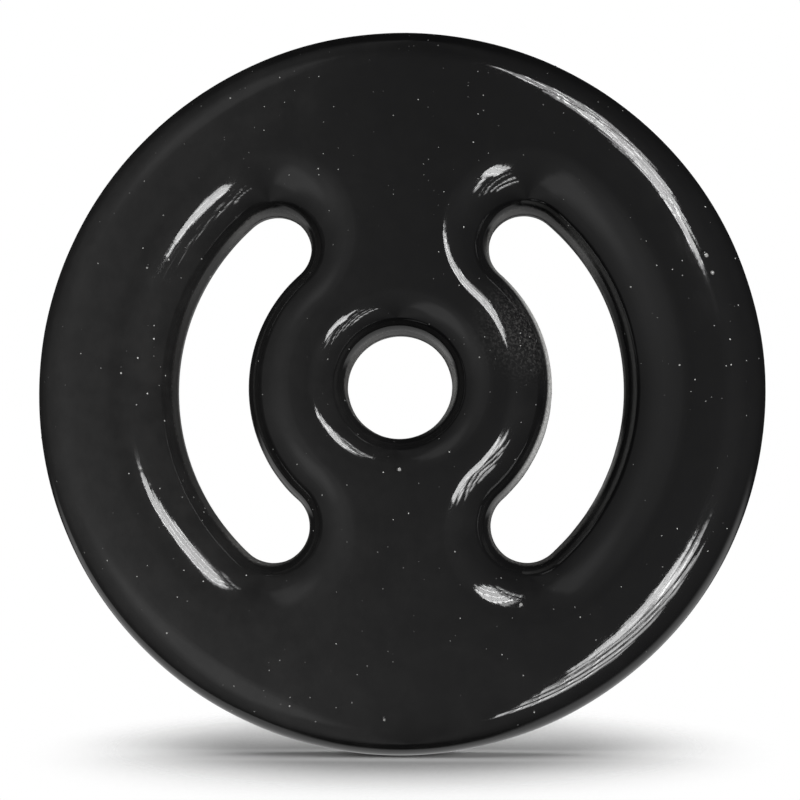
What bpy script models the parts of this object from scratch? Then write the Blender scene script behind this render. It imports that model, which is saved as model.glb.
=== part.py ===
"""Rubber coated weight plate with two hand slots, modelled in metres.

A cast iron core is sealed inside a moulded rubber coat. The coat is made from a front and a back
blank that meet at the parting line, half way through the thickness. Every edge of the plate, at the
rim, the bore and both hand slots, is rolled over in a soft shoulder.

Frame: origin at the centre of the bore, half way through the plate. The bore runs along Y, the front
face looks along -Y, and Z is up as the plate stands on its rim with one hand slot on each side.
"""

import math

import bmesh
import bpy
from mathutils import Vector

# Plate
PLATE_RADIUS = 0.110
THICKNESS = 0.032
BORE_RADIUS = 0.016

# Hand slots, curved round the bore
SLOT_MID_RADIUS = 0.057
SLOT_WIDTH = 0.022
SLOT_HALF_SPAN = math.radians(48.0)  # from the horizontal to the middle of a slot's round end

# Rolled edges: how far each shoulder reaches in from its edge, seen from the front
RIM_ROLL = 0.0150
BORE_ROLL = 0.0125
SLOT_ROLL_OUTER = 0.0195  # on the side of a slot that faces the rim, where the palm rests
SLOT_ROLL_INNER = 0.0140  # on the side that faces the bore
RIM_POWER = 2.2  # 2 is an ellipse, less is flatter at the middle of the shoulder, more is squarer
BORE_POWER = 2.1
SLOT_POWER = 1.9
LAND = 0.0025  # straight wall on each side of the parting line
FLAT_SHARE = 0.04  # least share of a web that stays flat between two shoulders

# Rubber coat
COAT_ON_FACE = 0.0025
COAT_ON_EDGE = 0.0030
CLEARANCE = 0.0003  # between the coat and the core, and between the two blanks

# Facets
RIM_POINTS = 72
BORE_POINTS = 32
SLOT_OUTER_POINTS = 14
SLOT_INNER_POINTS = 10
SLOT_END_POINTS = 8
COAT_STEPS = 6
CORE_STEPS = 3

RUBBER_COLOUR = (0.012, 0.012, 0.0125, 1.0)
IRON_COLOUR = (0.10, 0.095, 0.09, 1.0)
SMOOTH_BELOW = math.radians(35.0)


def material(name, colour, roughness, metallic):
    """A plain Principled material."""
    made = bpy.data.materials.new(name)
    made.use_nodes = True
    shader = made.node_tree.nodes["Principled BSDF"]
    shader.inputs["Base Color"].default_value = colour
    shader.inputs["Roughness"].default_value = roughness
    shader.inputs["Metallic"].default_value = metallic
    made.diffuse_color = colour
    return made


def shared_web(first_roll, second_roll, web):
    """The two shoulders that share a web, drawn in together where it is too narrow for both."""
    shrink = min(1.0, web * (1.0 - FLAT_SHARE) / (first_roll + second_roll))
    return first_roll * shrink, second_roll * shrink


def arc(radius, start, end, count, centre=(0.0, 0.0)):
    """Points of an arc in the XZ plane and the unit directions out from its centre, without its last point."""
    points = []
    for step in range(count):
        angle = start + (end - start) * step / count
        outward = Vector((math.cos(angle), math.sin(angle)))
        points.append((Vector(centre) + radius * outward, outward))
    return points


def circle_outline(radius, count, into_material, roll):
    """A round edge: its points, the directions into the material, and the shoulder's reach at each."""
    return [(point, into_material * outward, roll) for point, outward in arc(radius, 0.0, math.tau, count)]


def slot_outline(side, outer_roll, inner_roll):
    """A hand slot's edge on the +X (side 1) or -X (side -1) side: two arcs round the bore, joined by round ends."""
    half_width = SLOT_WIDTH / 2
    span = SLOT_HALF_SPAN
    top = SLOT_MID_RADIUS * Vector((math.cos(span), math.sin(span)))
    bottom = Vector((top.x, -top.y))
    outer_side = arc(SLOT_MID_RADIUS + half_width, -span, span, SLOT_OUTER_POINTS)
    top_end = arc(half_width, span, span + math.pi, SLOT_END_POINTS, top)
    inner_side = arc(SLOT_MID_RADIUS - half_width, span, -span, SLOT_INNER_POINTS)
    bottom_end = arc(half_width, math.pi - span, math.tau - span, SLOT_END_POINTS, bottom)
    # The material lies outside the outer arc and the ends, and inside the inner arc.
    edge = outer_side + top_end + [(point, -outward) for point, outward in inner_side] + bottom_end
    outline = []
    for point, into in edge:
        towards_rim = (1.0 + into.dot(point.normalized())) / 2
        roll = inner_roll + (outer_roll - inner_roll) * towards_rim
        outline.append((Vector((side * point.x, point.y)), Vector((side * into.x, into.y)), roll))
    return outline


def plate_edges():
    """Every edge of the plate as (outline, power of its shoulder)."""
    half_width = SLOT_WIDTH / 2
    inner_web = SLOT_MID_RADIUS - half_width - BORE_RADIUS
    outer_web = PLATE_RADIUS - SLOT_MID_RADIUS - half_width
    bore_roll, slot_inner_roll = shared_web(BORE_ROLL, SLOT_ROLL_INNER, inner_web)
    rim_roll, slot_outer_roll = shared_web(RIM_ROLL, SLOT_ROLL_OUTER, outer_web)
    return [
        (circle_outline(PLATE_RADIUS, RIM_POINTS, -1.0, rim_roll), RIM_POWER),
        (circle_outline(BORE_RADIUS, BORE_POINTS, 1.0, bore_roll), BORE_POWER),
        (slot_outline(1.0, slot_outer_roll, slot_inner_roll), SLOT_POWER),
        (slot_outline(-1.0, slot_outer_roll, slot_inner_roll), SLOT_POWER),
    ]


def shoulder_stations(steps, power):
    """Shares of a shoulder's reach and height, from its wall (0, 0) to the face (1, 1)."""
    stations = []
    for step in range(steps + 1):
        angle = math.pi / 2 * step / steps
        reach = 1.0 - max(0.0, math.cos(angle)) ** (2.0 / power)
        height = math.sin(angle) ** (2.0 / power)
        stations.append((reach, height))
    return stations


def add_ring(bm, outline, inset, reach, depth):
    """One closed ring of edges round an outline, pushed into the material and set at a depth along Y."""
    verts = []
    for point, into, roll in outline:
        place = point + into * (inset + (roll - inset) * reach)
        verts.append(bm.verts.new((place.x, depth, place.y)))
    return [bm.edges.new((verts[i - 1], verts[i])) for i in range(len(verts))]


def fill_flat(bm, edges, front):
    """Faces between nested rings that lie at one depth, looking along -Y (front -1) or +Y (front 1)."""
    bmesh.ops.triangle_fill(bm, edges=edges, use_beauty=True, normal=(0.0, front, 0.0))


def add_skin(bm, inset, start, half_thickness, steps, front=-1.0):
    """One side of the plate's surface, from the middle of its walls to a flat face, kept inset from the outside.

    start is the depth where the walls begin. Returns the rings there, one for each edge of the plate.
    """
    first_rings = []
    face_edges = []
    for outline, power in plate_edges():
        rings = [add_ring(bm, outline, inset, 0.0, front * start)]
        for reach, height in shoulder_stations(steps, power):
            depth = LAND + (half_thickness - LAND) * height
            rings.append(add_ring(bm, outline, inset, reach, front * depth))
        for lower, upper in zip(rings, rings[1:]):
            bmesh.ops.bridge_loops(bm, edges=lower + upper)
        first_rings.append(rings[0])
        face_edges += rings[-1]
    fill_flat(bm, face_edges, front)
    return first_rings


def close_mesh(bm, name):
    """The finished mesh, faces outwards, round walls shaded smooth."""
    bmesh.ops.recalc_face_normals(bm, faces=bm.faces)
    mesh = bpy.data.meshes.new(name)
    bm.to_mesh(mesh)
    bm.free()
    mesh.shade_smooth()
    mesh.set_sharp_from_angle(angle=SMOOTH_BELOW)
    return mesh


def coat_blank_mesh():
    """One moulded blank: the front half of the coat, hollow at the back where the core lies."""
    bm = bmesh.new()
    parting = CLEARANCE / 2
    outside = add_skin(bm, 0.0, parting, THICKNESS / 2, COAT_STEPS)
    cavity = add_skin(bm, COAT_ON_EDGE, parting, THICKNESS / 2 - COAT_ON_FACE, CORE_STEPS)
    fill_flat(bm, [edge for ring in outside + cavity for edge in ring], 1.0)
    return close_mesh(bm, "coat_blank")


def core_mesh():
    """The casting: the plate's own shape, smaller by the coat and its clearance."""
    bm = bmesh.new()
    inset = COAT_ON_EDGE + CLEARANCE
    half_thickness = THICKNESS / 2 - COAT_ON_FACE - CLEARANCE
    front = add_skin(bm, inset, LAND / 2, half_thickness, CORE_STEPS, -1.0)
    back = add_skin(bm, inset, LAND / 2, half_thickness, CORE_STEPS, 1.0)
    for front_ring, back_ring in zip(front, back):
        bmesh.ops.bridge_loops(bm, edges=front_ring + back_ring)
    return close_mesh(bm, "iron_core")


def add_piece(name, mesh, finish, parent, turn=0.0):
    """An object for one sub-part, turned about the vertical and held by the plate's empty."""
    piece = bpy.data.objects.new(name, mesh)
    bpy.context.scene.collection.objects.link(piece)
    if not mesh.materials:
        mesh.materials.append(finish)
    piece.rotation_euler.z = turn
    piece.parent = parent
    return piece


def build_plate():
    """The whole plate, standing on its rim."""
    for old in list(bpy.data.objects):
        bpy.data.objects.remove(old)
    plate = bpy.data.objects.new("weight_plate", None)
    bpy.context.scene.collection.objects.link(plate)

    rubber = material("moulded_rubber", RUBBER_COLOUR, 0.28, 0.0)
    iron = material("cast_iron", IRON_COLOUR, 0.7, 0.9)
    coat_blank = coat_blank_mesh()
    add_piece("front_coat", coat_blank, rubber, plate)
    add_piece("back_coat", coat_blank, rubber, plate, turn=math.pi)
    add_piece("iron_core", core_mesh(), iron, plate)


build_plate()
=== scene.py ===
"""Rubber coated weight plate: the moulded coat, its parting flash and grit, and the casting inside.

Laid out as an add-on: sizes and colours are properties of the scene, each piece is an operator, and a
panel in the 3D view's sidebar lists them. Metres throughout. The bore runs along Y, the front face
looks along -Y, and Z is up as the plate stands on its rim.
"""

import math

import bmesh
import bpy
from bpy.props import FloatProperty, FloatVectorProperty, IntProperty, PointerProperty
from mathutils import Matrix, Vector
from mathutils.geometry import delaunay_2d_cdt


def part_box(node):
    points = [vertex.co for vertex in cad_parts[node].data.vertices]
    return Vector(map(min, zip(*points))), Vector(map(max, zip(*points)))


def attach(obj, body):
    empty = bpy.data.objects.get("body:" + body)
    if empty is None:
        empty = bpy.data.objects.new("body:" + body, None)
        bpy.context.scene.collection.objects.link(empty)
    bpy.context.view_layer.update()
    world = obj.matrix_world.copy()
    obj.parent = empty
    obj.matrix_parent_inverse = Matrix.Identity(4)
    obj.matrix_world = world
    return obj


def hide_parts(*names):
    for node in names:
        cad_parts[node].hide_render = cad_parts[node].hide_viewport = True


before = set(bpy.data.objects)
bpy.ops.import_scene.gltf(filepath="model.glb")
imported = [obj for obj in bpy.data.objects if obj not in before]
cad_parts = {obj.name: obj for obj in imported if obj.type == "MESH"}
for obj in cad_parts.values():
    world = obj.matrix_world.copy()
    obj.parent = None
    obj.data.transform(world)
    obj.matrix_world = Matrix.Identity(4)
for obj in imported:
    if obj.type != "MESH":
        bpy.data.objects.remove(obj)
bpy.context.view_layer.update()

bl_info = {
    "name": "Rubber coated weight plate",
    "version": (1, 0, 0),
    "blender": (4, 5, 0),
    "location": "3D View > Sidebar > Weight plate",
    "description": "Builds a cast iron weight plate in a moulded rubber coat, piece by piece",
    "category": "Add Mesh",
}

COAT_LOW, COAT_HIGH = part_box("front_coat")


def narrowest_bore():
    """The bore's radius, from the front coat's nearest points to the Y axis."""
    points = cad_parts["front_coat"].data.vertices
    return min(math.hypot(point.co.x, point.co.z) for point in points)


# Sizes and colours


def length(name, description, default, low, high, precision=4):
    """A length that can be set, in metres."""
    return FloatProperty(name=name, description=description, default=default, min=low, max=high,
                         precision=precision, unit="LENGTH")


def squareness(name, default):
    """How square a shoulder is, which can be set."""
    return FloatProperty(name=name, description="2 is an ellipse, more is squarer", default=default,
                         min=1.2, max=6.0)


def colour(name, description, default):
    """A colour that can be set."""
    return FloatVectorProperty(name=name, description=description, default=default, size=3,
                               subtype="COLOR", min=0.0, max=1.0)


class PlateSizes(bpy.types.PropertyGroup):
    """The plate's plan and its rolled edges."""

    plate_radius: length("Plate radius", "From the axis of the bore to the rim", COAT_HIGH.x, 0.05, 0.3)
    thickness: length("Thickness", "From the front face to the back face", -2.0 * COAT_LOW.y, 0.01, 0.1)
    bore_radius: length(
        "Bore radius", "Radius of the hole that the bar goes through", narrowest_bore(), 0.005, 0.05)
    slot_mid_radius: length(
        "Slot radius", "From the axis of the bore to the middle of a hand slot", 0.057, 0.02, 0.2)
    slot_width: length("Slot width", "Width of a hand slot between its two long walls", 0.022, 0.01, 0.06)
    slot_half_span: FloatProperty(
        name="Slot half span", description="From the horizontal to the middle of a slot's round end",
        default=math.radians(48.0), min=0.2, max=1.4, subtype="ANGLE")
    rim_roll: length("Rim roll", "How far the rim's shoulder reaches in over the face", 0.0150, 0.001, 0.05)
    bore_roll: length(
        "Bore roll", "How far the bore's shoulder reaches out over the face", 0.0125, 0.001, 0.05)
    slot_roll_outer: length(
        "Palm side roll", "Reach of a slot's shoulder on the side that faces the rim", 0.0195, 0.001, 0.05)
    slot_roll_inner: length(
        "Bore side roll", "Reach of a slot's shoulder on the side that faces the bore", 0.0140, 0.001, 0.05)
    rim_power: squareness("Rim squareness", 2.2)
    bore_power: squareness("Bore squareness", 2.1)
    slot_power: squareness("Slot squareness", 1.9)
    land: length("Land", "Straight wall on each side of the parting line", 0.0025, 0.0, 0.01)
    flat_share: FloatProperty(
        name="Flat share", description="Least share of a web that stays flat between two shoulders",
        default=0.04, min=0.0, max=0.5, subtype="FACTOR")


class MouldingSizes(bpy.types.PropertyGroup):
    """What the mould leaves on the rubber."""

    flash_height: length(
        "Flash height", "How far the parting flash stands out of the wall", 0.0002, 0.0, 0.001, precision=5)
    wave_height: length(
        "Sink depth", "Depth of the shallow sinks in the moulded face", 0.00022, 0.0, 0.001, precision=5)
    wave_size: length("Sink size", "Width of the shallow sinks in the moulded face", 0.040, 0.005, 0.2)
    grit_radius: length(
        "Grit radius", "Radius of the largest grit under the skin", 0.00030, 0.0001, 0.001, precision=5)
    grit_density: FloatProperty(
        name="Grit density", description="Grains to a square metre where the grit is thickest",
        default=18000.0, min=0.0, max=60000.0)
    grit_seed: IntProperty(
        name="Grit seed", description="Another number scatters the grit another way", default=7, min=0)


class RubberFinish(bpy.types.PropertyGroup):
    """The coat's colour and gloss."""

    rubber_colour: colour("Rubber", "Colour of the clean rubber", (0.0025, 0.0025, 0.0027))
    # The dust colour is also painted light: it is laid much heavier on the left and at the foot of the face.
    dust_and_painted_light_colour: colour(
        "Dust", "Colour of the release powder and dust that cling to the rubber", (0.10, 0.098, 0.095))
    # The speck colour is also the painted light on the slot edges and the painted glints on the nibs' tops.
    speck_and_painted_light_colour: colour("Specks", "Colour of the single specks of dust", (0.42, 0.42, 0.41))
    iron_colour: colour("Cast iron", "Colour of the casting inside the coat", (0.10, 0.095, 0.09))
    gloss: FloatProperty(
        name="Roughness", description="Roughness of the rubber where it is cleanest",
        default=0.045, min=0.0, max=1.0, subtype="FACTOR")


class StageSettings(bpy.types.PropertyGroup):
    """Floor, camera and lights."""

    floor_colour: colour("Floor", "Colour of the floor", (0.93, 0.93, 0.93))
    camera_distance: FloatProperty(
        name="Camera distance", description="From the camera to the plate",
        default=0.50, min=0.2, max=5.0, unit="LENGTH")
    camera_azimuth: FloatProperty(
        name="Camera azimuth", description="To the right of the plate's axis",
        default=math.radians(2.1), subtype="ANGLE")
    camera_elevation: FloatProperty(
        name="Camera elevation", description="Above the plate's axis",
        default=math.radians(-6.6), subtype="ANGLE")


# Node wiring


class Wiring:
    """Adds nodes to one tree and joins their sockets."""

    def __init__(self, tree):
        self.tree = tree

    def join(self, value, socket):
        """Links another node's socket to this one, or sets it to a plain value."""
        if isinstance(value, bpy.types.NodeSocket):
            self.tree.links.new(value, socket)
        else:
            socket.default_value = value

    def node(self, kind, inputs=None, **settings):
        """A node with its settings and inputs, each input a plain value or another node's socket."""
        made = self.tree.nodes.new(kind)
        for name, value in settings.items():
            setattr(made, name, value)
        for key, value in (inputs or {}).items():
            self.join(value, made.inputs[key])
        return made

    def shape(self, kind, inputs=None, **settings):
        """What a geometry node makes."""
        return self.node(kind, inputs, **settings).outputs[0]

    def maths(self, operation, *values):
        """The result of one sum."""
        return self.node("ShaderNodeMath", dict(enumerate(values)), operation=operation).outputs[0]

    def plus(self, first, *others):
        """Values added up."""
        for value in others:
            first = self.maths("ADD", first, value)
        return first

    def times(self, first, *others):
        """Values multiplied."""
        for value in others:
            first = self.maths("MULTIPLY", first, value)
        return first

    def left_of(self, share):
        """What a share leaves of the whole."""
        return self.maths("SUBTRACT", 1.0, share)

    def between(self, value, low, high, start=0.0, end=1.0, smooth=True):
        """value mapped from low..high to start..end."""
        kind = "SMOOTHSTEP" if smooth else "LINEAR"
        inputs = {"Value": value, "From Min": low, "From Max": high, "To Min": start, "To Max": end}
        return self.node("ShaderNodeMapRange", inputs, interpolation_type=kind).outputs[0]

    def noise(self, vector, scale, detail=2.0, roughness=0.5, distortion=0.0, seed=None):
        """A noise texture. A seed, where one is given, picks another pattern."""
        inputs = {"Vector": vector, "Scale": scale, "Detail": detail, "Roughness": roughness,
                  "Distortion": distortion}
        if seed is None:
            return self.node("ShaderNodeTexNoise", inputs).outputs[0]
        inputs["W"] = seed
        return self.node("ShaderNodeTexNoise", inputs, noise_dimensions="4D").outputs[0]

    def cells(self, vector, scale):
        """The outputs of a texture of random cells."""
        return self.node("ShaderNodeTexVoronoi", {"Vector": vector, "Scale": scale}).outputs

    def vector_maths(self, operation, first, second=None, scale=None):
        """The outputs of one sum of vectors."""
        inputs = {0: first, 1: second, "Scale": scale}
        given = {key: value for key, value in inputs.items() if value is not None}
        return self.node("ShaderNodeVectorMath", given, operation=operation).outputs

    def distance(self, first, second):
        """How far apart two points are."""
        return self.vector_maths("DISTANCE", first, second)["Value"]

    def axes(self, vector):
        """A vector's X, Y and Z."""
        return self.node("ShaderNodeSeparateXYZ", {"Vector": vector}).outputs

    def colour_mix(self, factor, first, second):
        """A mix of two colours."""
        return self.node("ShaderNodeMix", {0: factor, 6: first, 7: second}, data_type="RGBA").outputs[2]

    def group(self, tree, inputs):
        """The outputs of a node group placed with its own values."""
        return self.node("ShaderNodeGroup", inputs, node_tree=tree).outputs

    def mark(self, name):
        """A number that each point of the mesh carries."""
        return self.shape("GeometryNodeInputNamedAttribute", {"Name": name}, data_type="FLOAT")

    def together(self, *parts):
        """Several geometries as one."""
        joined = self.node("GeometryNodeJoinGeometry")
        for part in parts:
            self.join(part, joined.inputs[0])
        return joined.outputs[0]


def new_tree(name, kind, inputs, outputs):
    """A node tree and its wiring. Each socket is given by its kind or, for a number, by its default."""
    tree = bpy.data.node_groups.new(name, kind)
    kinds = {int: "Int", float: "Float"}
    for side, sockets in (("INPUT", inputs), ("OUTPUT", outputs)):
        for label, given in sockets.items():
            socket_type = "NodeSocket" + kinds.get(type(given), given)
            made = tree.interface.new_socket(label, in_out=side, socket_type=socket_type)
            if type(given) in kinds:
                made.default_value = given
    wiring = Wiring(tree)
    return wiring, wiring.node("NodeGroupInput").outputs, wiring.node("NodeGroupOutput").inputs


def end_shape(w, geometry, given, out):
    """The end of a shape tree: real geometry, shaded smooth, in the finish that the tree was given."""
    real = w.shape("GeometryNodeRealizeInstances", {"Geometry": geometry})
    smooth = w.shape("GeometryNodeSetShadeSmooth", {"Geometry": real, "Shade Smooth": True})
    finished = w.shape("GeometryNodeSetMaterial", {"Geometry": smooth, "Material": given["Finish"]})
    w.join(finished, out["Geometry"])


def new_object(name, data):
    """An object in the scene."""
    made = bpy.data.objects.new(name, data)
    bpy.context.scene.collection.objects.link(made)
    return made


def grow(name, mesh, tree, values):
    """Runs a Geometry Nodes tree on a mesh and keeps the outcome as a plain mesh at the origin."""
    piece = new_object(name, mesh)
    modifier = piece.modifiers.new(tree.name, "NODES")
    modifier.node_group = tree
    for item in tree.interface.items_tree:
        if item.in_out == "INPUT" and item.name in values:
            modifier[item.identifier] = values[item.name]
    depsgraph = bpy.context.evaluated_depsgraph_get()
    made = bpy.data.meshes.new_from_object(
        piece.evaluated_get(depsgraph), preserve_all_data_layers=True, depsgraph=depsgraph)
    piece.modifiers.remove(modifier)
    piece.data = made
    made.name = name
    if not made.polygons:
        raise RuntimeError(name + " came out empty")
    return piece


# The plate's plan

RIM_POINTS = 288
BORE_POINTS = 128
SLOT_OUTER_POINTS = 76
SLOT_END_POINTS = 40
SLOT_INNER_POINTS = 56
SHOULDER_STEPS = 18
FACE_GRAIN = 0.0036  # between points on the flat face
MERGE_WITHIN = 1e-7  # points of the flat face nearer than this are one
# The plan has a little depth, because an upright wall would have no area in it otherwise.
PLAN_WALL_DEPTH = 1e-3
PLAN_SHOULDER_DEPTH = 1e-4


def shared_web(first_roll, second_roll, web, flat_share):
    """The two shoulders that share a web, drawn in together where it is too narrow for both."""
    shrink = min(1.0, web * (1.0 - flat_share) / (first_roll + second_roll))
    return first_roll * shrink, second_roll * shrink


def arc(radius, start, end, count, centre=(0.0, 0.0)):
    """Points of an arc in the XZ plane and the directions out from its centre, without its last point."""
    points = []
    for step in range(count):
        angle = start + (end - start) * step / count
        outward = Vector((math.cos(angle), math.sin(angle)))
        points.append((Vector(centre) + radius * outward, outward))
    return points


def circle_outline(radius, count, into_material, roll):
    """A round edge: its points, the directions into the material, and the shoulder's reach at each."""
    return [(point, into_material * outward, roll) for point, outward in arc(radius, 0.0, math.tau, count)]


def slot_outline(sizes, side, outer_roll, inner_roll):
    """A hand slot's edge on the right (side 1) or the left (side -1)."""
    middle, half_width, span = sizes.slot_mid_radius, sizes.slot_width / 2, sizes.slot_half_span
    top = middle * Vector((math.cos(span), math.sin(span)))
    bottom = Vector((top.x, -top.y))
    outer_side = arc(middle + half_width, -span, span, SLOT_OUTER_POINTS)
    top_end = arc(half_width, span, span + math.pi, SLOT_END_POINTS, top)
    inner_side = arc(middle - half_width, span, -span, SLOT_INNER_POINTS)
    bottom_end = arc(half_width, math.pi - span, math.tau - span, SLOT_END_POINTS, bottom)
    edge = outer_side + top_end + [(point, -outward) for point, outward in inner_side] + bottom_end
    outline = []
    for point, into in edge:
        towards_rim = (1.0 + into.dot(point.normalized())) / 2
        roll = inner_roll + (outer_roll - inner_roll) * towards_rim
        outline.append((Vector((side * point.x, point.y)), Vector((side * into.x, into.y)), roll))
    return outline if side > 0 else outline[::-1]


def plate_edges(sizes, rim_radius):
    """Every edge of the plate as (outline, squareness of its shoulder), the rim first."""
    half_width = sizes.slot_width / 2
    inner_web = sizes.slot_mid_radius - half_width - sizes.bore_radius
    outer_web = sizes.plate_radius - sizes.slot_mid_radius - half_width
    bore_roll, slot_inner = shared_web(sizes.bore_roll, sizes.slot_roll_inner, inner_web, sizes.flat_share)
    rim_roll, slot_outer = shared_web(sizes.rim_roll, sizes.slot_roll_outer, outer_web, sizes.flat_share)
    rim_roll -= sizes.plate_radius - rim_radius
    return [
        (circle_outline(rim_radius, RIM_POINTS, -1.0, rim_roll), sizes.rim_power),
        (circle_outline(sizes.bore_radius, BORE_POINTS, 1.0, bore_roll), sizes.bore_power),
        (slot_outline(sizes, 1.0, slot_outer, slot_inner), sizes.slot_power),
        (slot_outline(sizes, -1.0, slot_outer, slot_inner), sizes.slot_power),
    ]


def inside(point, loop):
    """Whether a point lies within a closed loop of points."""
    within = False
    for (ax, ay), (bx, by) in zip(loop, loop[1:] + loop[:1]):
        if (ay > point[1]) != (by > point[1]) and point[0] < (bx - ax) * (point[1] - ay) / (by - ay) + ax:
            within = not within
    return within


def on_face(point, loops):
    """Whether a point lies within the first loop, the rim's, and outside the others."""
    return inside(point, loops[0]) and not any(inside(point, loop) for loop in loops[1:])


def loop_edges(start, count):
    """The edges of a closed loop of points that are numbered from start."""
    return [(start + i, start + (i + 1) % count) for i in range(count)]


def shoulder_bands(sizes, rim_radius):
    """A band of quads along every edge of the plate, laid out flat.

    Returns the points, the faces, and the loops where the flat face begins. A point is its place, its share
    of the shoulder's reach, the shoulder's squareness, and 1 where it lies above the parting line.
    """
    points, faces, face_loops = [], [], []
    for outline, power in plate_edges(sizes, rim_radius):
        stations = [(0.0, 0.0)]
        for step in range(SHOULDER_STEPS + 1):
            angle = math.pi / 2 * step / SHOULDER_STEPS
            stations.append((1.0 - max(0.0, math.cos(angle)) ** (2.0 / power), 1.0))
        rings = []
        for share, above in stations:
            rings.append(range(len(points), len(points) + len(outline)))
            points += [(point + into * (roll * share), share, power, above) for point, into, roll in outline]
        for lower, upper in zip(rings, rings[1:]):
            faces += [(lower[i - 1], lower[i], upper[i], upper[i - 1]) for i in range(len(outline))]
        face_loops.append(list(rings[-1]))
    return points, faces, face_loops


def grid_spots(loops, border, rim_radius):
    """Places on a triangular grid on the flat face, none of them close to its border."""
    near = [(spot.x, spot.y) for spot in border]
    reach = int(rim_radius / FACE_GRAIN) + 1
    spots = []
    for row in range(-reach, reach + 1):
        for column in range(-reach, reach + 1):
            spot = Vector(((column + 0.5 * (row % 2)) * FACE_GRAIN, row * FACE_GRAIN * math.sqrt(0.75)))
            if on_face(spot, loops) and min(
                    (spot.x - x) ** 2 + (spot.y - y) ** 2 for x, y in near) > (0.5 * FACE_GRAIN) ** 2:
                spots.append(spot)
    return spots


def fill_face(points, face_loops, rim_radius):
    """Adds the points of the flat face to the plan's points, and returns its triangles."""
    loops = [[tuple(points[i][0]) for i in loop] for loop in face_loops]
    border = [i for loop in face_loops for i in loop]
    spots = [points[i][0] for i in border]
    spots += grid_spots(loops, spots, rim_radius)
    edges = []
    for loop in face_loops:
        edges += loop_edges(len(edges), len(loop))
    verts, _, triangles, origins, _, _ = delaunay_2d_cdt(spots, edges, [], 0, MERGE_WITHIN)
    numbers = []
    for vert, origin in zip(verts, origins):
        if origin and origin[0] < len(border):
            numbers.append(border[origin[0]])
        else:
            numbers.append(len(points))
            points.append((vert, 1.0, 2.0, 1.0))
    faces = []
    for triangle in triangles:
        middle = sum((Vector(verts[i]) for i in triangle), Vector((0.0, 0.0))) / 3
        if on_face(middle, loops):
            faces.append(tuple(numbers[i] for i in triangle))
    return faces


def facing_front(points, face):
    """A face of the plan, turned round where it is wound the wrong way."""
    corners = [points[i][0] for i in face]
    area = sum(a.cross(b) for a, b in zip(corners, corners[1:] + corners[:1]))
    return face if area > 0 else face[::-1]


def plan_mesh(sizes, rim_radius):
    """The front face laid out flat: a band of quads along every edge and triangles between the bands."""
    points, faces, face_loops = shoulder_bands(sizes, rim_radius)
    faces += fill_face(points, face_loops, rim_radius)
    places = []
    for place, share, _, above in points:
        places.append((place[0], -PLAN_SHOULDER_DEPTH * (1 - share) - PLAN_WALL_DEPTH * above, place[1]))
    mesh = bpy.data.meshes.new("plate_plan")
    mesh.from_pydata(places, [], [facing_front(points, face) for face in faces])
    bm = bmesh.new()
    bm.from_mesh(mesh)
    bmesh.ops.recalc_face_normals(bm, faces=bm.faces)
    if sum(face.normal.y * face.calc_area() for face in bm.faces) > 0:
        bmesh.ops.reverse_faces(bm, faces=bm.faces)
    bm.to_mesh(mesh)
    bm.free()
    for column, name in ((1, "shoulder"), (2, "squareness"), (3, "above_parting")):
        values = [point[column] for point in points]
        mesh.attributes.new(name, "FLOAT", "POINT").data.foreach_set("value", values)
    return mesh


def edge_loops_mesh(sizes, rim_radius):
    """The parting line as closed loops of edges round the rim, the bore and both slots."""
    points, edges = [], []
    for outline, _ in plate_edges(sizes, rim_radius):
        edges += loop_edges(len(points), len(outline))
        points += [(point.x, 0.0, point.y) for point, _, _ in outline]
    mesh = bpy.data.meshes.new("parting_line")
    mesh.from_pydata(points, edges, [])
    return mesh


# Shape trees

SEAM_WITHIN = 1e-6  # front and back are joined where their points are nearer than this
GRAIN_FLATNESS = 0.38  # height of a grain over its radius
GRAIN_ROOM = 0.45  # what the faces keep back for the highest grain, over its radius


def rolled_coat_tree():
    """Turns the flat plan into the moulded coat: rolled shoulders, shallow sinks, and a mirrored back."""
    w, given, out = new_tree("rolled coat", "GeometryNodeTree", {
        "Geometry": "Geometry", "Half thickness": 0.016, "Land": 0.0025, "Sink depth": 0.0002,
        "Sink size": 0.04, "Seed": 1.0, "Finish": "Material"}, {"Geometry": "Geometry"})

    # Height of a superellipse at this share of the shoulder.
    power = w.mark("squareness")
    rest = w.left_of(w.maths("POWER", w.left_of(w.mark("shoulder")), power))
    height = w.maths("POWER", w.maths("MAXIMUM", rest, 0.0), w.maths("DIVIDE", 1.0, power))
    crown = w.maths("SUBTRACT", given["Half thickness"], given["Land"])
    depth = w.times(w.plus(given["Land"], w.times(crown, height)), w.mark("above_parting"))
    place = w.axes(w.shape("GeometryNodeInputPosition"))
    rolled = w.node("ShaderNodeCombineXYZ", {"X": place["X"], "Y": w.times(depth, -1.0), "Z": place["Z"]})
    front = w.shape("GeometryNodeSetPosition", {"Geometry": given["Geometry"], "Position": rolled.outputs[0]})
    turned = w.shape("GeometryNodeTransform", {"Geometry": front, "Scale": (1.0, -1.0, 1.0)})
    back = w.shape("GeometryNodeFlipFaces", {"Mesh": turned})
    both = w.together(back, front)
    whole = w.shape("GeometryNodeMergeByDistance", {"Geometry": both, "Distance": SEAM_WITHIN})

    # Shallow sinks, always into the rubber, none at the parting line.
    scale = w.maths("DIVIDE", 1.0, given["Sink size"])
    shallow = w.noise(w.shape("GeometryNodeInputPosition"), scale, 1.5, 0.4, seed=given["Seed"])
    sink = w.times(w.between(shallow, 0.25, 0.75, smooth=False), given["Sink depth"])
    sink = w.times(sink, w.times(w.mark("above_parting"), -1.0))
    push = w.vector_maths("SCALE", w.shape("GeometryNodeInputNormal"), scale=sink)[0]
    end_shape(w, w.shape("GeometryNodeSetPosition", {"Geometry": whole, "Offset": push}), given, out)
    return w.tree


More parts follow.
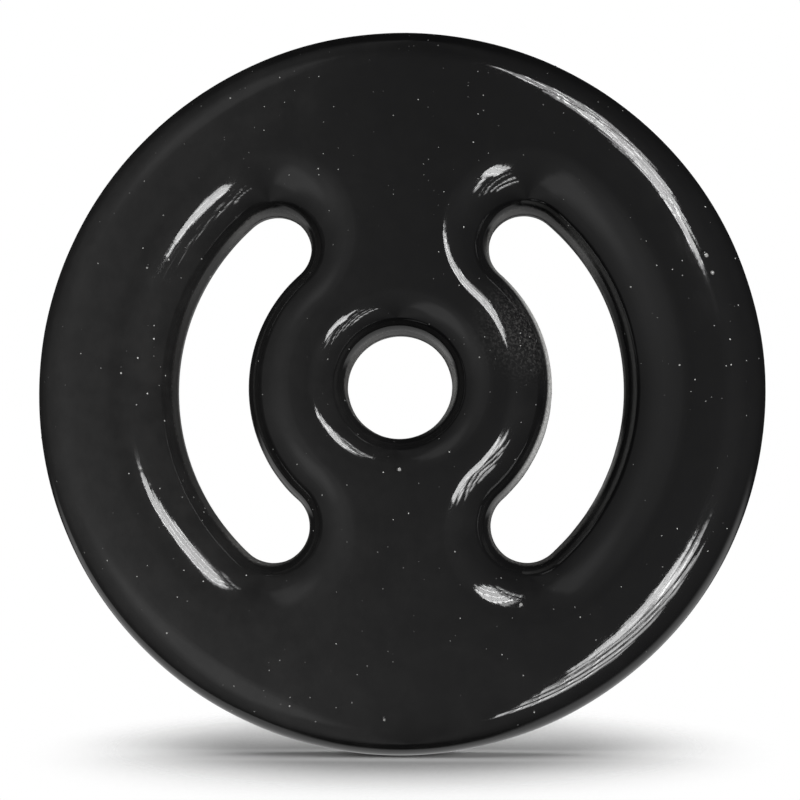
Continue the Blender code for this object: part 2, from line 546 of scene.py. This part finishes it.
def parting_flash_tree():
    """A thin ragged ridge of rubber along the parting line."""
    w, given, out = new_tree("parting flash", "GeometryNodeTree", {
        "Geometry": "Geometry", "Height": 0.0002, "Raggedness": 0.45, "Seed": 3.0,
        "Finish": "Material"}, {"Geometry": "Geometry"})
    line = w.shape("GeometryNodeMeshToCurve", {"Mesh": given["Geometry"]})
    section = w.shape("GeometryNodeCurvePrimitiveCircle", {"Resolution": 6, "Radius": given["Height"]})
    ragged = w.noise(w.shape("GeometryNodeInputPosition"), 160.0, 3.0, seed=given["Seed"])
    width = w.between(ragged, 0.35, 0.65, w.left_of(given["Raggedness"]), 1.0, smooth=False)
    ridge = w.shape("GeometryNodeCurveToMesh", {"Curve": line, "Profile Curve": section, "Scale": width})
    end_shape(w, ridge, given, out)
    return w.tree


def moulding_grit_tree():
    """Grains of grit under the skin, as low domes strewn over a surface, and larger nibs on marked points."""
    w, given, out = new_tree("moulding grit", "GeometryNodeTree", {
        "Geometry": "Geometry", "Grain radius": 0.0003, "Density": 18000.0, "Seed": 7,
        "Finish": "Material"}, {"Geometry": "Geometry"})
    drift = w.noise(w.shape("GeometryNodeInputPosition"), 26.0, 1.0)
    thick = w.times(given["Density"], w.maths("POWER", w.between(drift, 0.42, 0.75), 1.6))
    strewn = w.node("GeometryNodeDistributePointsOnFaces", {
        "Mesh": given["Geometry"], "Density": thick, "Seed": given["Seed"]}).outputs
    size = w.node("FunctionNodeRandomValue", {2: 0.25, 3: 1.0, "Seed": given["Seed"]}, data_type="FLOAT")
    uneven = w.times(w.maths("POWER", size.outputs[1], 2.0), given["Grain radius"])
    ball = w.shape("GeometryNodeMeshUVSphere", {"Segments": 8, "Rings": 5, "Radius": 1.0})
    dome = w.shape("GeometryNodeTransform", {"Geometry": ball, "Scale": (1.0, 1.0, GRAIN_FLATNESS)})
    grains = w.shape("GeometryNodeInstanceOnPoints", {
        "Points": strewn["Points"], "Instance": dome, "Rotation": strewn["Rotation"], "Scale": uneven})
    marked = w.mark("nib_radius")
    spots = w.shape("GeometryNodeMeshToPoints", {
        "Mesh": given["Geometry"], "Selection": w.maths("GREATER_THAN", marked, 0.0)})
    lying = w.node("FunctionNodeAlignRotationToVector", {"Vector": (0.0, 1.0, 0.0)}, axis="Z")
    nibs = w.shape("GeometryNodeInstanceOnPoints", {
        "Points": spots, "Instance": dome, "Rotation": lying.outputs[0], "Scale": marked})
    end_shape(w, w.together(nibs, grains), given, out)
    return w.tree


# Finishes

BLACK = (0.0, 0.0, 0.0, 1.0)
RUST = (0.12, 0.055, 0.025, 1.0)
RUBBER_IOR = 1.5
# The middle of a patch by the right slot where the gloss is worn, and how far it reaches.
WORN_SPOT = (0.038, -0.012, 0.016)
WORN_REACH = 0.020
# Walls nearer the axis than the first are the bore's or a slot's, and those past the second are the rim's.
INNER_WALLS = 0.080
RIM_WALL = 0.085
# Stretches of slot edge painted pale, as painted light where the edges catch the lamps: middle, reach, share,
# the depth where they begin, and the side they end at.
PAINTED_EDGE_LIGHT = (
    ((0.047, -0.008, 0.004), 0.048, 1.00, -0.020, 0.052),
    ((-0.068, 0.008, 0.000), 0.055, 0.38, -0.001, -0.058),
    ((0.0635, 0.002, -0.026), 0.017, 0.60, -0.006, 0.080),
    ((0.068, 0.002, 0.012), 0.036, 0.35, -0.004, 0.080))
# Nibs on the front face: across, up and radius.
NIBS = ((0.0004, -0.0262, 0.00085), (0.0357, -0.0655, 0.00080), (-0.0040, -0.0985, 0.0006),
        (0.0912, 0.0370, 0.0010), (0.0928, 0.0318, 0.0009), (-0.0752, 0.0345, 0.0005))
# Places where more dust has settled: centre, reach, and the share of specks added there.
DUST_DRIFTS = (((0.014, -0.016, 0.066), 0.040, 0.10), ((0.045, -0.012, 0.020), 0.022, 0.22),
               ((0.045, -0.016, -0.075), 0.035, 0.05))
# How far the painted shadow under the plate reaches, how steeply it darkens, and the least brightness it
# leaves under the plate and clear of it.
PAINTED_SHADOW_REACH = 0.16
PAINTED_SHADOW_POWER = 1.5
UNDER_PLATE, CLEAR_OF_PLATE = 0.012, 0.028
LEAST_UNDER, LEAST_CLEAR = 0.60, 0.22
# The floor fades out between these distances from a point behind the plate, and depth counts for less.
FADE_START, FADE_END = 0.050, 0.120
FADE_CENTRE = 0.050
FADE_DEPTH_SHARE = 0.70


def rgba(tone):
    """A colour with its alpha."""
    return (tone[0], tone[1], tone[2], 1.0)


def shader_group(name, inputs, outputs, build):
    """A shader node group, made once and shared by the materials."""
    found = bpy.data.node_groups.get(name)
    if found is None:
        wiring, given, out = new_tree(name, "ShaderNodeTree", inputs, outputs)
        build(wiring, given, out)
        found = wiring.tree
    return found


def shared_material(name, build, settings):
    """A Principled material, made once and shared by the pieces."""
    found = bpy.data.materials.get(name)
    if found is None:
        found = bpy.data.materials.new(name)
        found.use_nodes = True
        build(Wiring(found.node_tree), found.node_tree.nodes["Principled BSDF"].inputs, settings)
    return found


def moulded_skin_group():
    """Height of a moulded skin: flow ripples, draw lines along a shoulder, a fine peel, and sparse pits."""
    def build(w, given, out):
        ripple = w.noise(given["Vector"], w.maths("DIVIDE", 1.0, given["Ripple size"]), 2.0, 0.45, 0.6)
        drift = w.vector_maths("SCALE", given["Vector"], scale=14.0)[0]
        across = w.node("ShaderNodeCombineXYZ", {"X": w.times(given["Shoulder"], given["Lines"])}).outputs[0]
        lines = w.noise(w.vector_maths("ADD", drift, across)[0], 1.0, 2.0, 0.6)
        peel = w.noise(given["Vector"], w.maths("DIVIDE", 1.0, given["Peel size"]), 3.0, 0.55)
        pit = w.cells(given["Vector"], w.maths("DIVIDE", 0.4, given["Peel size"]))["Distance"]
        height = w.plus(
            w.times(ripple, given["Ripple height"]), w.times(lines, given["Line height"]),
            w.times(peel, given["Peel height"]), w.times(w.between(pit, 0.0, 0.10), given["Pit depth"]))
        w.join(height, out["Height"])
    return shader_group("moulded skin", {
        "Vector": "Vector", "Ripple size": 0.012, "Ripple height": 1.0, "Shoulder": 1.0, "Lines": 14.0,
        "Line height": 0.0, "Peel size": 0.0012, "Peel height": 0.1, "Pit depth": 0.1},
        {"Height": "Float"}, build)


def clinging_dust_group():
    """Where dust clings: sparse specks, more of them in some patches, and a faint haze."""
    def build(w, given, out):
        haze = w.noise(given["Vector"], w.maths("DIVIDE", 1.0, given["Patch size"]), 4.0, 0.6, 0.3)
        haze = w.between(haze, 0.45, 0.80)
        cell = w.cells(given["Vector"], w.maths("DIVIDE", 1.0, given["Speck spacing"]))
        chance = w.node("ShaderNodeSeparateColor", {0: cell["Color"]}).outputs
        reach = w.times(given["Speck radius"], w.plus(0.4, chance[1]))
        reach = w.maths("DIVIDE", reach, given["Speck spacing"])
        speck = w.between(cell["Distance"], reach, w.times(reach, 0.6))
        share = w.times(given["Share"], w.plus(0.35, w.times(haze, 1.8)))
        share = w.plus(share, given["More"])
        speck = w.times(speck, w.maths("LESS_THAN", chance[0], share))
        speck = w.times(speck, w.maths("POWER", w.between(chance[2], 0.0, 1.0, 0.25, 1.0), 2.0))
        w.join(speck, out["Specks"])
        w.join(haze, out["Haze"])
    return shader_group("clinging dust", {
        "Vector": "Vector", "Speck spacing": 0.0015, "Speck radius": 0.00025, "Share": 0.1, "More": 0.0,
        "Patch size": 0.03}, {"Specks": "Float", "Haze": "Float"}, build)


def wall_powder_and_painted_shade(w, wall, ragged, across, powdered):
    """How much powder lies on the trimmed walls, none where it is clean, with painted shade: almost none on
    the middle of the right slot's outer wall, which faces away from the lamps, and less on the middle of the
    left slot's outer wall.
    """
    return w.times(
        wall, w.between(ragged, 0.35, 0.70, 0.40, 0.85), w.between(across["X"], 0.052, 0.062, 1.0, 0.05),
        w.between(across["X"], -0.056, -0.048, 0.25, 1.0), powdered)


def moulded_rubber(w, shader, finish):
    """Black rubber as it leaves a polished mould: glossy, slightly rippled, with clinging dust, and with
    painted light and painted shade in its colour.
    """
    clean_tone, powder_and_painted_light_tone, speck_and_painted_light_tone = (
        rgba(tone) for tone in (finish.rubber_colour, finish.dust_and_painted_light_colour, finish.speck_and_painted_light_colour))
    place = w.node("ShaderNodeTexCoord").outputs["Object"]
    across = w.axes(place)
    shoulder = w.node("ShaderNodeAttribute", attribute_name="shoulder").outputs["Fac"]
    skin = w.group(moulded_skin_group(), {
        "Vector": place, "Ripple size": 0.009, "Ripple height": 0.9, "Shoulder": shoulder, "Lines": 11.0,
        "Line height": 0.45, "Peel size": 0.0013, "Peel height": 0.10, "Pit depth": 0.05})
    drifts = 0.0
    for spot, reach, more in DUST_DRIFTS:
        drifts = w.plus(drifts, w.between(w.distance(place, spot), 0.0, reach, more, 0.0))
    dust = w.group(clinging_dust_group(), {
        "Vector": place, "Speck spacing": 0.0015, "Speck radius": 0.00024, "Share": 0.20,
        "More": drifts, "Patch size": 0.030})

    # The walls of the bore and of the slots are dull: the coat is trimmed there, and powder stays on it.
    flat = w.vector_maths("MULTIPLY", place, (1.0, 0.0, 1.0))[0]
    from_axis = w.vector_maths("LENGTH", flat)["Value"]
    ragged = w.noise(place, 1500.0, 3.0, 0.6)
    limit = w.plus(0.035, w.times(ragged, 0.05))
    wall = w.between(shoulder, limit, w.times(limit, 0.2))
    wall = w.times(wall, w.between(from_axis, RIM_WALL, INNER_WALLS))

    # A thin film of powder on the whole face, and painted light: the face is painted much paler on the left
    # and at the foot, where it catches more light.
    side = w.plus(across["X"], w.times(across["Z"], 0.35), w.times(dust["Haze"], -0.05))
    bloom_and_painted_light = w.between(side, -0.12, 0.05, 0.085, 0.012)
    bloom_and_painted_light = w.times(bloom_and_painted_light, w.between(w.noise(place, 130.0, 4.0, 0.7), 0.30, 0.70, 0.75, 1.25))
    tone = w.colour_mix(bloom_and_painted_light, clean_tone, powder_and_painted_light_tone)
    worn = w.between(w.distance(place, WORN_SPOT), 0.004, WORN_REACH, 1.0, 0.0)
    scuffs = w.times(worn, w.between(ragged, 0.42, 0.70), 0.28)
    tone = w.colour_mix(scuffs, tone, powder_and_painted_light_tone)

    # Deep in the slot on the right, the wall towards the bore is clean.
    clean = w.times(
        w.between(across["X"], 0.0, 0.020), w.between(across["X"], 0.052, 0.058, 1.0, 0.0),
        w.between(across["Y"], -0.003, 0.001, 0.0, 0.9))
    powdered = w.left_of(clean)
    tone = w.colour_mix(wall_powder_and_painted_shade(w, wall, ragged, across, powdered), tone, powder_and_painted_light_tone)
    # Painted light: pale bands on the slot edges where they catch the lamps, in the speck colour.
    edge = w.between(shoulder, 0.13, 0.05)
    for spot, reach, share, from_depth, to_side in PAINTED_EDGE_LIGHT:
        pale = w.times(
            edge, w.between(w.distance(place, spot), 0.4 * reach, reach, share, 0.0),
            w.between(across["Y"], from_depth, from_depth + 0.003),
            w.between(across["X"], to_side, to_side + 0.010, 1.0, 0.0),
            powdered, w.between(ragged, 0.30, 0.65, 0.5, 1.0))
        tone = w.colour_mix(pale, tone, speck_and_painted_light_tone)

    # Painted glints: the tops of the largest nibs are painted pale, as the small highlights they catch.
    front = w.between(across["Y"], 0.0, -0.01)
    for x, z, radius in NIBS:
        top = w.between(w.distance(flat, (x, 0.0, z)), 0.35 * radius, 0.75 * radius, 0.6, 0.0)
        tone = w.colour_mix(w.times(top, front), tone, speck_and_painted_light_tone)
    w.join(w.colour_mix(dust["Specks"], tone, speck_and_painted_light_tone), shader["Base Color"])

    smear = w.noise(place, 55.0, 3.0, 0.55, 0.8)
    rough = w.plus(
        w.between(smear, 0.35, 0.75, finish.gloss, finish.gloss + 0.025), w.times(dust["Haze"], 0.02),
        w.times(dust["Specks"], 0.50), w.times(wall, 0.42))
    w.join(rough, shader["Roughness"])
    bump = w.node("ShaderNodeBump", {"Strength": 1.0, "Distance": 0.00005, "Height": skin["Height"]})
    w.join(bump.outputs[0], shader["Normal"])
    shader["IOR"].default_value = RUBBER_IOR


def cast_iron(w, shader, finish):
    """Sand cast grey iron, sealed inside the coat."""
    place = w.node("ShaderNodeTexCoord").outputs["Object"]
    skin = w.group(moulded_skin_group(), {
        "Vector": place, "Ripple size": 0.006, "Ripple height": 0.6, "Peel size": 0.0009,
        "Peel height": 1.0, "Pit depth": 0.6})
    dust = w.group(clinging_dust_group(), {
        "Vector": place, "Speck spacing": 0.002, "Speck radius": 0.0008, "Share": 0.3,
        "Patch size": 0.020})
    dark = tuple(0.55 * part for part in finish.iron_colour)
    tone = w.colour_mix(dust["Haze"], rgba(finish.iron_colour), rgba(dark))
    w.join(w.colour_mix(w.times(dust["Specks"], 0.5), tone, RUST), shader["Base Color"])
    w.join(w.between(dust["Haze"], 0.0, 1.0, 0.55, 0.8), shader["Roughness"])
    w.join(w.maths("SUBTRACT", 0.9, w.times(dust["Specks"], 0.6)), shader["Metallic"])
    bump = w.node("ShaderNodeBump", {"Strength": 0.8, "Distance": 0.0003, "Height": skin["Height"]})
    w.join(bump.outputs[0], shader["Normal"])


def floor_with_painted_shadow(w, shader, stage):
    """A plain pale floor with a painted shadow under the plate, that fades out round it."""
    place = w.node("ShaderNodeTexCoord").outputs["Object"]
    across = w.axes(place)
    tone = w.between(w.noise(place, 30.0, 2.0), 0.3, 0.7, 0.99, 1.0)
    plain = w.colour_mix(tone, rgba([0.98 * part for part in stage.floor_colour]), rgba(stage.floor_colour))
    # Light from all round reaches the floor less and less towards the plate.
    # Painted shadow: the floor's colour darkens towards the plate, by how much of the sky the plate hides
    # from each point.
    open_sky_for_painted_shadow = w.node("ShaderNodeAmbientOcclusion", {"Distance": PAINTED_SHADOW_REACH}, samples=8).outputs["AO"]
    depth = w.maths("ABSOLUTE", across["Y"])
    least = w.between(depth, UNDER_PLATE, CLEAR_OF_PLATE, LEAST_UNDER, LEAST_CLEAR)
    share = w.maths("MAXIMUM", w.maths("POWER", open_sky_for_painted_shadow, PAINTED_SHADOW_POWER), least)
    w.join(w.colour_mix(share, BLACK, plain), shader["Base Color"])
    shader["Roughness"].default_value = 0.9
    shader["Specular IOR Level"].default_value = 0.0
    behind = w.times(w.maths("SUBTRACT", across["Y"], FADE_CENTRE), FADE_DEPTH_SHARE)
    away = w.maths("SQRT", w.plus(w.times(across["X"], across["X"]), w.times(behind, behind)))
    w.join(w.between(away, FADE_START, FADE_END, 1.0, 0.0), shader["Alpha"])


# Lights and room

FOOT = (0.0, 0.0, -0.11)  # where the plate stands on the floor
# Lamps that light the dull surfaces and aren't mirrored: name, place, the point they face, width, height
# and radiance. The two floor lamps stand low at the sides and light the floor under the plate.
LAMPS = (
    ("rear_overhead", (0.0, 0.38, 0.75), FOOT, 0.50, 0.36, 4.8),
    ("front_fill", (0.0, -0.70, 0.75), FOOT, 0.90, 0.60, 2.1),
    ("floor_left", (-0.70, -0.20, 0.03), FOOT, 0.30, 0.25, 14.0),
    ("floor_right", (0.70, -0.20, 0.03), FOOT, 0.30, 0.25, 14.0),
    ("key", (1.20, -1.00, 0.0), (0.0, 0.0, 0.0), 0.80, 0.80, 11.0))
# Upright tubes of the two panels at the right, in front of the plate: left and right edge, foot and head
# in the panels' plane, and radiance.
PANEL_PLANE = -1.20
TUBES = (
    (0.250, 0.285, 0.46, 0.80, 6.0), (0.298, 0.318, 0.30, 0.82, 30.0), (0.330, 0.385, 0.30, 0.80, 13.0),
    (0.396, 0.420, 0.33, 0.82, 28.0), (0.432, 0.500, 0.40, 0.80, 11.0), (0.512, 0.538, 0.47, 0.82, 28.0),
    (0.550, 0.605, 0.56, 0.82, 10.0), (0.616, 0.640, 0.64, 0.82, 24.0),
    (0.290, 0.334, -0.43, -0.14, 11.0), (0.340, 0.362, -0.44, -0.12, 20.0),
    (0.368, 0.436, -0.43, -0.12, 14.0), (0.442, 0.464, -0.44, -0.12, 24.0),
    (0.468, 0.505, -0.43, -0.14, 13.0))
# Lamps behind a honeycomb in the same plane, each group mirrored by only one stretch of rolled edge: the
# point they face, columns as left edge, right edge and radiance, the edges of their rows, and their beam.
HONEYCOMBS = (
    ((0.062, 0.0, 0.082),
     ((0.262, 0.280, 30.0), (0.296, 0.350, 8.0), (0.364, 0.384, 34.0), (0.400, 0.470, 8.0),
      (0.486, 0.506, 34.0), (0.524, 0.600, 8.0), (0.616, 0.638, 30.0), (0.656, 0.740, 8.0)),
     (0.84, 1.03, 1.26), math.radians(11.0)),
    ((0.058, 0.0, -0.086),
     ((0.345, 0.410, 15.0), (0.430, 0.452, 28.0), (0.466, 0.552, 15.0), (0.570, 0.592, 30.0),
      (0.608, 0.692, 16.0), (0.706, 0.730, 32.0), (0.746, 0.842, 15.0), (0.860, 0.886, 28.0),
      (0.902, 1.034, 13.0), (1.048, 1.180, 11.0)),
     (-1.40, -1.10, -0.82, -0.60, -0.44), math.radians(7.0)),
    ((0.066, 0.0, -0.055),
     ((0.515, 0.550, 22.0), (0.556, 0.580, 40.0), (0.586, 0.672, 20.0), (0.678, 0.702, 38.0),
      (0.710, 0.800, 14.0)),
     (-0.44, -0.18), math.radians(8.0)))
WIDE_BEAM = math.pi

# Brightness of the room by the angle to the right of straight in front of the plate, in degrees.
ROOM_LEVELS = (
    (-180.0, 0.01), (-150.0, 0.01), (-120.0, 0.02), (-100.0, 0.08), (-85.0, 0.19), (-68.0, 0.27),
    (-50.0, 0.38), (-36.0, 0.42), (-23.0, 0.38), (-15.0, 0.34), (-10.0, 0.28), (-4.0, 0.22),
    (0.0, 0.20), (8.0, 0.20), (15.0, 0.24), (25.0, 0.26), (40.0, 0.22), (60.0, 0.15), (80.0, 0.11),
    (100.0, 0.06), (120.0, 0.02), (150.0, 0.01), (180.0, 0.01))
# How that changes with the angle above the horizontal.
LIFT_SHARES = ((-90.0, 0.70), (-60.0, 0.90), (-30.0, 1.15), (-4.0, 1.25), (7.0, 1.00), (17.0, 0.95),
               (35.0, 0.85), (56.0, 0.50), (90.0, 0.35))
# Lighter parts of the room: turn from and to, lift from and to, and what they add. The last two lie behind
# the plate and light its back from below.
ROOM_PARTS = ((-40.0, -15.0, 26.0, 52.0, 0.25), (-44.0, -14.0, -46.0, -12.0, 0.32),
              (112.0, 190.0, -65.0, -10.0, 0.55), (-195.0, -116.0, -65.0, -10.0, 0.55))
# How softly a lighter part begins and ends, in degrees: where its turn begins, where it ends, and its lift.
SOFT_START, SOFT_END, SOFT_LIFT = 12.0, 4.0, 6.0
# The white backdrop that mirrors see fills a cone straight behind: its edge, as the cosine.
BACKDROP_EDGE = (0.985, 0.999)
# What lights dull surfaces from all round: lowest and highest lift, and the levels there.
FILL = (-10.0, 50.0, 0.10, 0.28)


def add_lamp(name, place, look_at, width, height, radiance, mirrored=False, beam=WIDE_BEAM):
    """A rectangular lamp that faces a point. radiance is what that point sees, and beam is the lamp's spread.

    A mirrored lamp is seen by mirror rays alone, and any other one lights only dull surfaces.
    """
    lamp = bpy.data.lights.new(name, "AREA")
    lamp.shape = "RECTANGLE"
    lamp.size = width
    lamp.size_y = height
    lamp.spread = beam
    # A narrow beam packs the same energy into a small angle, so the energy comes down with it.
    packed = 1.0 if beam == WIDE_BEAM else 1.0 - beam / 2 / math.tan(beam / 2)
    lamp.energy = radiance * packed * math.pi * width * height
    holder = new_object(name, lamp)
    holder.location = place
    holder.rotation_euler = (Vector(look_at) - Vector(place)).to_track_quat("-Z", "Y").to_euler()
    holder.visible_camera = False
    holder.visible_glossy = mirrored
    holder.visible_diffuse = not mirrored


def add_tubes():
    """The two panels' tubes, which face the plate squarely."""
    for number, (left, right, foot, head, radiance) in enumerate(TUBES):
        across, up = (left + right) / 2, (foot + head) / 2
        add_lamp("tube_%02d" % number, (across, PANEL_PLANE, up), (across, 0.0, up),
                 right - left, head - foot, radiance, mirrored=True)


def add_honeycombs():
    """The lamps behind a honeycomb, each turned to the stretch of edge that it lights."""
    for target, columns, row_edges, beam in HONEYCOMBS:
        for left, right, radiance in columns:
            for foot, head in zip(row_edges, row_edges[1:]):
                place = ((left + right) / 2, PANEL_PLANE, (foot + head) / 2)
                lean = math.atan2(place[2] - target[2], -PANEL_PLANE)
                add_lamp("honeycomb", place, target, right - left, (head - foot) * math.cos(lean),
                         radiance, mirrored=True, beam=beam)


def levels(w, angle, reach, table):
    """The level that a table of (angle, level) gives at an angle between -reach and reach."""
    ramp = w.node("ShaderNodeValToRGB", {0: w.between(angle, -reach, reach, smooth=False)})
    stops = ramp.color_ramp.elements
    for number, (place, level) in enumerate(table):
        place = (place + reach) / (2 * reach)
        stop = stops[number] if number < 2 else stops.new(place)
        stop.position = place
        stop.color = (level, level, level, 1.0)
    return w.node("ShaderNodeSeparateColor", {0: ramp.outputs["Color"]}).outputs[0]


def lighter_part(w, turn, lift, part):
    """What one lighter part of the room adds in a direction."""
    low_turn, high_turn, low_lift, high_lift, level = part
    across = w.times(w.between(turn, low_turn - SOFT_START, low_turn + SOFT_START),
                     w.between(turn, high_turn - SOFT_END, high_turn + SOFT_END, 1.0, 0.0))
    up = w.times(w.between(lift, low_lift - SOFT_LIFT, low_lift + SOFT_LIFT),
                 w.between(lift, high_lift - SOFT_LIFT, high_lift + SOFT_LIFT, 1.0, 0.0))
    return w.times(level, w.times(across, up))


def studio_world():
    """White backdrop behind the plate, a dim room in front of it, and an even fill on dull surfaces."""
    world = bpy.data.worlds.new("studio")
    world.use_nodes = True
    world.node_tree.nodes.clear()
    w = Wiring(world.node_tree)
    way = w.axes(w.node("ShaderNodeTexCoord").outputs["Generated"])
    rays = w.node("ShaderNodeLightPath").outputs
    degrees = 180.0 / math.pi
    turn = w.times(w.maths("ARCTAN2", way["X"], w.times(way["Y"], -1.0)), degrees)
    lift = w.times(w.maths("ARCSINE", way["Z"]), degrees)
    room = w.times(levels(w, turn, 180.0, ROOM_LEVELS), levels(w, lift, 90.0, LIFT_SHARES))
    for part in ROOM_PARTS:
        room = w.plus(room, lighter_part(w, turn, lift, part))
    backdrop = w.between(way["Y"], *BACKDROP_EDGE)
    seen = w.plus(backdrop, w.times(w.left_of(backdrop), room))
    mirrored = w.maths("MAXIMUM", rays["Is Glossy Ray"], rays["Is Transmission Ray"])
    level = w.plus(w.times(mirrored, seen), w.times(w.left_of(mirrored), w.between(lift, *FILL)))
    level = w.plus(rays["Is Camera Ray"], w.times(w.left_of(rays["Is Camera Ray"]), level))
    light = w.node("ShaderNodeBackground", {"Color": (1.0, 1.0, 1.0, 1.0), "Strength": level})
    w.join(light.outputs[0], w.node("ShaderNodeOutputWorld").inputs["Surface"])
    bpy.context.scene.world = world


# Floor and camera

FLOOR_RADIUS = 0.45
PICTURE_PIXELS = 800.0
FOCAL_PIXELS = 1644.0
SENSOR_MM = 36.0
CAMERA_AIM = (0.0, 0.0, -0.0039)


def add_camera(stage):
    """The camera, from the plate's own angle."""
    camera = bpy.data.cameras.new("camera")
    camera.sensor_width = SENSOR_MM
    camera.lens = FOCAL_PIXELS * SENSOR_MM / PICTURE_PIXELS
    camera.clip_start = 0.01
    camera.dof.use_dof = False
    holder = new_object("camera", camera)
    turn, lift = stage.camera_azimuth, stage.camera_elevation
    away = Vector((math.sin(turn) * math.cos(lift), -math.cos(turn) * math.cos(lift), math.sin(lift)))
    holder.location = Vector(CAMERA_AIM) + stage.camera_distance * away
    holder.rotation_euler = (-away).to_track_quat("-Z", "Y").to_euler()
    return holder


def add_floor(sizes, stage):
    """The floor, a disc that the plate stands on."""
    mesh = bpy.data.meshes.new("floor")
    bm = bmesh.new()
    bmesh.ops.create_circle(bm, cap_ends=True, segments=96, radius=FLOOR_RADIUS)
    bm.to_mesh(mesh)
    bm.free()
    mesh.materials.append(shared_material("painted_shadow_floor_finish", floor_with_painted_shadow, stage))
    floor = new_object("floor", mesh)
    floor.location = (0.0, 0.0, -sizes.plate_radius)
    floor.visible_glossy = False
    floor.visible_shadow = False
    return floor


# Operators and panel


def rubber(context):
    """The coat's material, which the flash and the grit share."""
    return shared_material("moulded_rubber_finish", moulded_rubber, context.scene.plate_finish)


class PLATE_OT_rubber_coat(bpy.types.Operator):
    """Moulds the rubber coat over the rim, the bore and both hand slots"""

    bl_idname = "plate.rubber_coat"
    bl_label = "Rubber coat"
    bl_options = {"REGISTER", "UNDO"}

    def execute(self, context):
        sizes, moulding = context.scene.plate_sizes, context.scene.plate_moulding
        rim_radius = sizes.plate_radius - moulding.flash_height
        coat = grow("rubber_coat", plan_mesh(sizes, rim_radius), rolled_coat_tree(), {
            "Half thickness": sizes.thickness / 2 - GRAIN_ROOM * moulding.grit_radius, "Land": sizes.land,
            "Sink depth": moulding.wave_height, "Sink size": moulding.wave_size, "Seed": 4.0,
            "Finish": rubber(context)})
        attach(coat, "root")
        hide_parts("front_coat", "back_coat")
        return {"FINISHED"}


class PLATE_OT_parting_flash(bpy.types.Operator):
    """Lays the thin ridge of rubber along the parting line"""

    bl_idname = "plate.parting_flash"
    bl_label = "Parting flash"
    bl_options = {"REGISTER", "UNDO"}

    def execute(self, context):
        sizes, moulding = context.scene.plate_sizes, context.scene.plate_moulding
        line = edge_loops_mesh(sizes, sizes.plate_radius - moulding.flash_height)
        flash = grow("parting_flash", line, parting_flash_tree(), {
            "Height": moulding.flash_height, "Raggedness": 0.45, "Seed": 3.0,
            "Finish": rubber(context)})
        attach(flash, "root")
        return {"FINISHED"}


class PLATE_OT_moulding_grit(bpy.types.Operator):
    """Strews grains of grit under the skin, with the larger nibs on the front face"""

    bl_idname = "plate.moulding_grit"
    bl_label = "Moulding grit"
    bl_options = {"REGISTER", "UNDO"}

    def execute(self, context):
        coat = bpy.data.objects.get("rubber_coat")
        if coat is None:
            raise RuntimeError("the rubber coat comes before its grit")
        moulding = context.scene.plate_moulding
        surface = coat.data.copy()
        bm = bmesh.new()
        bm.from_mesh(surface)
        mark = bm.verts.layers.float.new("nib_radius")
        for x, z, radius in NIBS:
            nearest = min((vert for vert in bm.verts if vert.co.y < 0 and vert[mark] == 0),
                          key=lambda vert: (vert.co.x - x) ** 2 + (vert.co.z - z) ** 2)
            nearest[mark] = radius
        bm.to_mesh(surface)
        bm.free()
        grit = grow("moulding_grit", surface, moulding_grit_tree(), {
            "Grain radius": moulding.grit_radius, "Density": moulding.grit_density,
            "Seed": moulding.grit_seed, "Finish": rubber(context)})
        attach(grit, "root")
        return {"FINISHED"}


class PLATE_OT_casting_finish(bpy.types.Operator):
    """Gives the iron casting its sand cast finish"""

    bl_idname = "plate.casting_finish"
    bl_label = "Casting finish"
    bl_options = {"REGISTER", "UNDO"}

    def execute(self, context):
        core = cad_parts["iron_core"]
        finish = shared_material("cast_iron_finish", cast_iron, context.scene.plate_finish)
        if not core.material_slots:
            raise RuntimeError("the casting has no material slot")
        for slot in core.material_slots:
            slot.material = finish
        return {"FINISHED"}


class PLATE_OT_stage(bpy.types.Operator):
    """Sets the plate on a pale floor with its lights and camera"""

    bl_idname = "plate.stage"
    bl_label = "Stage"
    bl_options = {"REGISTER", "UNDO"}

    def execute(self, context):
        scene = context.scene
        floor = add_floor(scene.plate_sizes, scene.plate_stage)
        for lamp in LAMPS:
            add_lamp(*lamp)
        add_tubes()
        add_honeycombs()
        studio_world()
        scene.camera = add_camera(scene.plate_stage)
        scene.view_settings.view_transform = "Standard"
        return {"FINISHED"}


class PLATE_PT_panel(bpy.types.Panel):
    """Lists the plate's pieces and their sizes"""

    bl_idname = "PLATE_PT_panel"
    bl_label = "Weight plate"
    bl_space_type = "VIEW_3D"
    bl_region_type = "UI"
    bl_category = "Weight plate"

    def draw(self, context):
        for operator in OPERATORS:
            self.layout.operator(operator.bl_idname)
        for name, _ in SETTINGS:
            box = self.layout.box()
            group = getattr(context.scene, name)
            for prop in group.bl_rna.properties:
                if prop.identifier not in ("rna_type", "name"):
                    box.prop(group, prop.identifier)


OPERATORS = (PLATE_OT_rubber_coat, PLATE_OT_parting_flash, PLATE_OT_moulding_grit, PLATE_OT_casting_finish,
             PLATE_OT_stage)
SETTINGS = (("plate_sizes", PlateSizes), ("plate_moulding", MouldingSizes), ("plate_finish", RubberFinish),
            ("plate_stage", StageSettings))


def register():
    for name, group in SETTINGS:
        bpy.utils.register_class(group)
        setattr(bpy.types.Scene, name, PointerProperty(type=group))
    for cls in OPERATORS + (PLATE_PT_panel,):
        bpy.utils.register_class(cls)


def unregister():
    for cls in (PLATE_PT_panel,) + OPERATORS[::-1]:
        bpy.utils.unregister_class(cls)
    for name, group in SETTINGS[::-1]:
        delattr(bpy.types.Scene, name)
        bpy.utils.unregister_class(group)


def plain(bounds):
    """A box as lists of numbers."""
    return [[float(value) for value in corner] for corner in bounds]


def main():
    register()
    bpy.ops.plate.rubber_coat()
    bpy.ops.plate.parting_flash()
    bpy.ops.plate.moulding_grit()
    bpy.ops.plate.casting_finish()
    bpy.ops.plate.stage()


if __name__ == "__main__":
    main()
